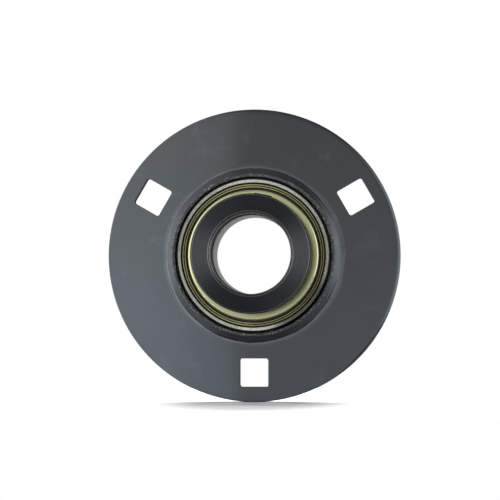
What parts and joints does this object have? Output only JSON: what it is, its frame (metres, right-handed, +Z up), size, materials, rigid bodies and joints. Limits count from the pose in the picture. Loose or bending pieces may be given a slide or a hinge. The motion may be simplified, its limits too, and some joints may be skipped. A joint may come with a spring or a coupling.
{
  "type": "flange bearing unit",
  "caption": "Round pressed-steel flange housing with square bolt holes around a self-aligning sealed ball bearing insert, locked to its shaft by an eccentric collar.",
  "frame": {"origin": "bearing centre: on the shaft axis, in the joint plane of the two flange halves", "axes": "+Z up with one bolt hole at the bottom, +Y along the shaft axis to the rear, collar towards -Y"},
  "size_m": [0.113, 0.0357, 0.113],
  "materials": {
    "pressed_steel": "pressed sheet, dull grey finish",
    "ground_steel": "ground bearing steel",
    "ball_steel": "polished bearing steel",
    "cage_steel": "pressed strip",
    "seal_rubber": "moulded, slightly glossy",
    "olive_passivate": "zinc plate, olive passivated",
    "yellow_passivate": "zinc plate, yellow passivated",
    "black_oxide": "blackened and oiled"
  },
  "bodies": {
    "housing": {"front_flange": "pressed_steel", "rear_flange": "pressed_steel"},
    "insert": {"outer_ring": "ground_steel", "front_seal_plate": "olive_passivate", "rear_seal_plate": "olive_passivate", "front_seal": "seal_rubber", "rear_seal": "seal_rubber"},
    "inner": {"inner_ring": "ground_steel", "front_slinger": "yellow_passivate", "rear_slinger": "yellow_passivate"},
    "cage": {"cage_front_half": "cage_steel", "cage_rear_half": "cage_steel", "cage_rivets": "cage_steel"},
    "ball_1": {"ball_1": "ball_steel"},
    "ball_2": {"ball_2": "ball_steel"},
    "ball_3": {"ball_3": "ball_steel"},
    "ball_4": {"ball_4": "ball_steel"},
    "ball_5": {"ball_5": "ball_steel"},
    "ball_6": {"ball_6": "ball_steel"},
    "ball_7": {"ball_7": "ball_steel"},
    "ball_8": {"ball_8": "ball_steel"},
    "ball_9": {"ball_9": "ball_steel"},
    "collar": {"locking_collar": "black_oxide"},
    "set_screw": {"set_screw": "black_oxide"}
  },
  "joints": [
    {"name": "align_tilt", "type": "hinge", "parent": "housing", "child": "insert", "pos_m": [0, 0, 0], "axis": [1, 0, 0], "range_deg": [-3, 3]},
    {"name": "shaft_spin", "type": "hinge", "parent": "insert", "child": "inner", "pos_m": [0, 0, 0], "axis": [0, 1, 0], "continuous": true},
    {"name": "cage_orbit", "type": "hinge", "parent": "insert", "child": "cage", "pos_m": [0, 0, 0], "axis": [0, 1, 0], "continuous": true},
    {"name": "ball_1_roll", "type": "hinge", "parent": "cage", "child": "ball_1", "pos_m": [0, 0, 0.023], "axis": [0, 1, 0], "continuous": true},
    {"name": "ball_2_roll", "type": "hinge", "parent": "cage", "child": "ball_2", "pos_m": [-0.01478, 0, 0.01762], "axis": [0, 1, 0], "continuous": true},
    {"name": "ball_3_roll", "type": "hinge", "parent": "cage", "child": "ball_3", "pos_m": [-0.02265, 0, 0.00399], "axis": [0, 1, 0], "continuous": true},
    {"name": "ball_4_roll", "type": "hinge", "parent": "cage", "child": "ball_4", "pos_m": [-0.01992, 0, -0.0115], "axis": [0, 1, 0], "continuous": true},
    {"name": "ball_5_roll", "type": "hinge", "parent": "cage", "child": "ball_5", "pos_m": [-0.00787, 0, -0.02161], "axis": [0, 1, 0], "continuous": true},
    {"name": "ball_6_roll", "type": "hinge", "parent": "cage", "child": "ball_6", "pos_m": [0.00787, 0, -0.02161], "axis": [0, 1, 0], "continuous": true},
    {"name": "ball_7_roll", "type": "hinge", "parent": "cage", "child": "ball_7", "pos_m": [0.01992, 0, -0.0115], "axis": [0, 1, 0], "continuous": true},
    {"name": "ball_8_roll", "type": "hinge", "parent": "cage", "child": "ball_8", "pos_m": [0.02265, 0, 0.00399], "axis": [0, 1, 0], "continuous": true},
    {"name": "ball_9_roll", "type": "hinge", "parent": "cage", "child": "ball_9", "pos_m": [0.01478, 0, 0.01762], "axis": [0, 1, 0], "continuous": true},
    {"name": "collar_lock", "type": "hinge", "parent": "inner", "child": "collar", "pos_m": [0, 0, 0], "axis": [0, 1, 0], "range_deg": [-24, 24]},
    {"name": "set_screw_travel", "type": "slide", "parent": "collar", "child": "set_screw", "axis": [0.1908, 0, 0.9816], "range_m": [-0.0018, 0.004]}
  ],
  "couplings": [
    {"joint": "cage_orbit", "follows": "shaft_spin", "ratio": 0.39647},
    {"joint": "ball_1_roll", "follows": "shaft_spin", "ratio": -2.3112},
    {"joint": "ball_2_roll", "follows": "shaft_spin", "ratio": -2.3112},
    {"joint": "ball_3_roll", "follows": "shaft_spin", "ratio": -2.3112},
    {"joint": "ball_4_roll", "follows": "shaft_spin", "ratio": -2.3112},
    {"joint": "ball_5_roll", "follows": "shaft_spin", "ratio": -2.3112},
    {"joint": "ball_6_roll", "follows": "shaft_spin", "ratio": -2.3112},
    {"joint": "ball_7_roll", "follows": "shaft_spin", "ratio": -2.3112},
    {"joint": "ball_8_roll", "follows": "shaft_spin", "ratio": -2.3112},
    {"joint": "ball_9_roll", "follows": "shaft_spin", "ratio": -2.3112}
  ]
}
